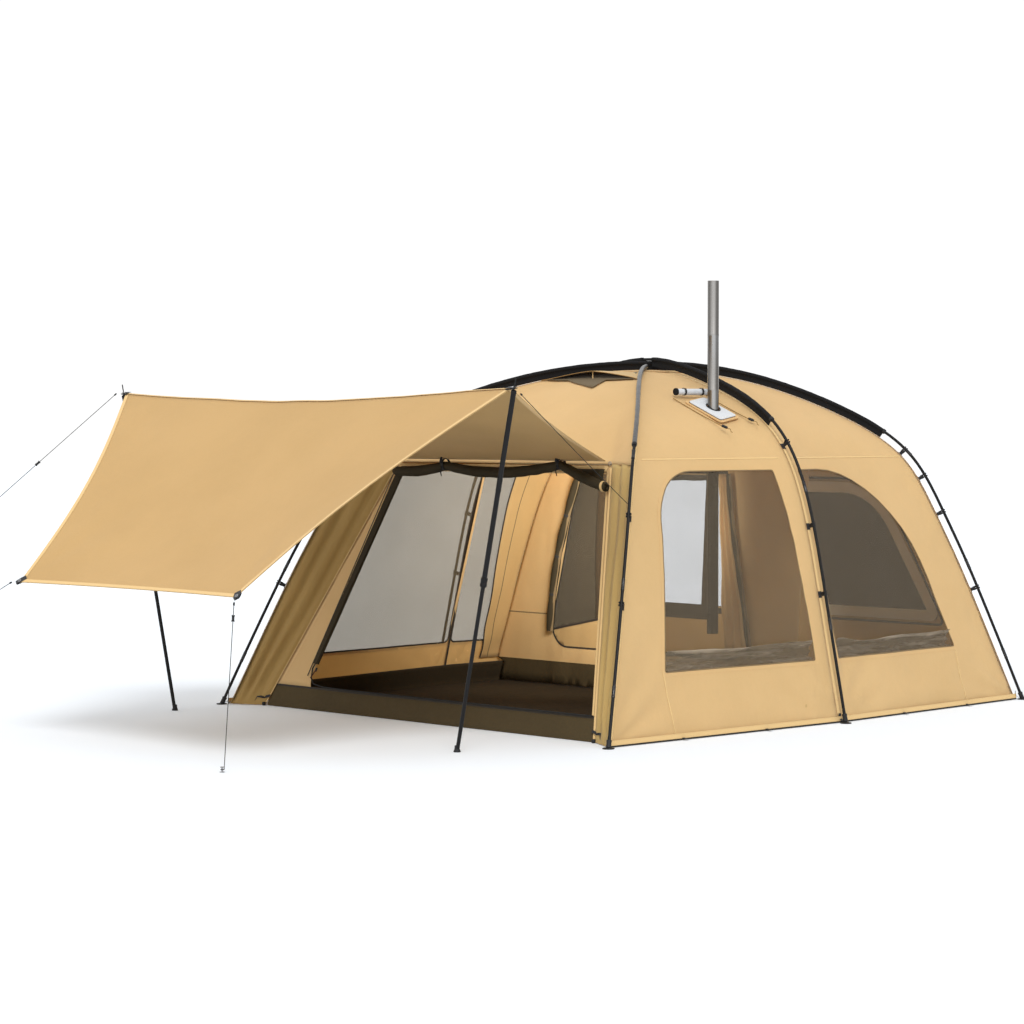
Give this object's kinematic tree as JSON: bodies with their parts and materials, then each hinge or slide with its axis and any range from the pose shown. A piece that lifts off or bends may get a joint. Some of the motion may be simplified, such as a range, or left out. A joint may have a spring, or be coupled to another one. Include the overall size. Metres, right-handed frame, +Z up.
{
  "type": "dome tent",
  "caption": "Walk-in dome tent on arched poles with a propped awning, net windows, a tub floor, a roof vent and a stove pipe through a heat-proof plate.",
  "frame": {"origin": "on the ground, on the underside of the groundsheet, in the middle of the rectangle of the four corner feet", "axes": "+X towards the side with the stove pipe, -Y towards the door and awning, +Z up"},
  "size_m": [4.8061, 6.577, 2.66],
  "materials": {
    "sand_canvas": "matt woven canvas",
    "brown_groundsheet": "coated cloth",
    "brown_net": "fine insect net",
    "black_webbing": "woven webbing and cord",
    "dark_anodised_pole": "dark anodised tube",
    "brushed_steel": "brushed",
    "black_plastic": "matt",
    "white_stove_cloth": "heat-proof coated cloth"
  },
  "bodies": {
    "tent": {"awning": "sand_canvas", "partition": "sand_canvas", "crown_patch": "sand_canvas", "front_wall": "sand_canvas", "wing_left": "sand_canvas", "wing_right": "sand_canvas", "roof_front": "sand_canvas", "side_left_front": "sand_canvas", "side_left_rear": "sand_canvas", "side_right_front": "sand_canvas", "side_right_rear": "sand_canvas", "rear_wall": "sand_canvas", "groundsheet": "brown_groundsheet", "door_roll": "brown_groundsheet", "window_net_left_front": "brown_net", "window_net_left_rear": "brown_net", "window_net_right_front": "brown_net", "window_net_right_rear": "brown_net", "window_net_rear_left": "brown_net", "window_net_rear_right": "brown_net", "sleeve_front_left": "black_webbing", "sleeve_front_right": "black_webbing", "sleeve_middle_left": "black_webbing", "sleeve_middle_right": "black_webbing", "sleeve_rear_left": "black_webbing", "sleeve_rear_right": "black_webbing", "rear_cover_roll": "black_webbing", "door_tie_left": "black_webbing", "door_tie_right": "black_webbing", "guy_far_ridge": "black_webbing", "guy_far_corner": "black_webbing", "guy_near_corner": "black_webbing", "tie_near": "black_webbing", "tie_far": "black_webbing", "pole_front_left_to_rear_right": "dark_anodised_pole", "pole_front_right_to_rear_left": "dark_anodised_pole", "pole_middle_hoop": "dark_anodised_pole", "awning_pole_upper_left": "dark_anodised_pole", "awning_pole_upper_right": "dark_anodised_pole", "peg_far_ridge": "brushed_steel", "peg_far_corner": "brushed_steel", "peg_near_corner": "brushed_steel", "foot_front_left": "black_plastic", "foot_front_right": "black_plastic", "foot_middle_left": "black_plastic", "foot_middle_right": "black_plastic", "foot_rear_left": "black_plastic", "foot_rear_right": "black_plastic", "stove_jack": "white_stove_cloth", "stove_jack_flap": "white_stove_cloth"},
    "stove_pipe": {"stove_pipe": "brushed_steel"},
    "awning_pole_foot_left": {"awning_pole_lower_left": "dark_anodised_pole"},
    "awning_pole_foot_right": {"awning_pole_lower_right": "dark_anodised_pole"},
    "vent_hood": {"roof_vent_hood": "sand_canvas", "roof_vent_strut": "sand_canvas"},
    "rear_hood": {"rear_window_hood": "black_webbing"},
    "zip_slider": {"door_zip_slider": "black_plastic"},
    "runner_near": {"runner_near_corner": "black_plastic"},
    "runner_far_corner": {"runner_far_corner": "black_plastic"},
    "runner_far_ridge": {"runner_far_ridge": "black_plastic"}
  },
  "joints": [
    {"name": "stove_pipe_slide", "type": "slide", "parent": "tent", "child": "stove_pipe", "axis": [0, 0, 1], "range_m": [-0.35, 0.12]},
    {"name": "awning_pole_left_telescope", "type": "slide", "parent": "tent", "child": "awning_pole_foot_left", "axis": [-0.06, -0.147, 0.9873], "range_m": [0, 0.28]},
    {"name": "awning_pole_right_telescope", "type": "slide", "parent": "tent", "child": "awning_pole_foot_right", "axis": [0.2449, -0.026, 0.9692], "range_m": [0, 0.28]},
    {"name": "vent_hood_tilt", "type": "hinge", "parent": "tent", "child": "vent_hood", "pos_m": [0, -0.10514, 2.11669], "axis": [1, 0, 0], "range_deg": [-30, 0]},
    {"name": "rear_hood_tilt", "type": "hinge", "parent": "tent", "child": "rear_hood", "pos_m": [0, 1.41984, 1.45], "axis": [1, 0, 0], "range_deg": [-12, 45]},
    {"name": "door_zip_slide", "type": "slide", "parent": "tent", "child": "zip_slider", "axis": [0.1039, 0.4034, 0.9091], "range_m": [0, 1.3]},
    {"name": "runner_near_slide", "type": "slide", "parent": "tent", "child": "runner_near", "axis": [0.0244, -0.0991, -0.9948], "range_m": [-0.05, 0.5]},
    {"name": "runner_far_corner_slide", "type": "slide", "parent": "tent", "child": "runner_far_corner", "axis": [-0.8754, -0.1955, -0.4421], "range_m": [-0.2, 0.6]},
    {"name": "runner_far_ridge_slide", "type": "slide", "parent": "tent", "child": "runner_far_ridge", "axis": [-0.4074, -0.6249, -0.666], "range_m": [-0.2, 0.6]}
  ]
}
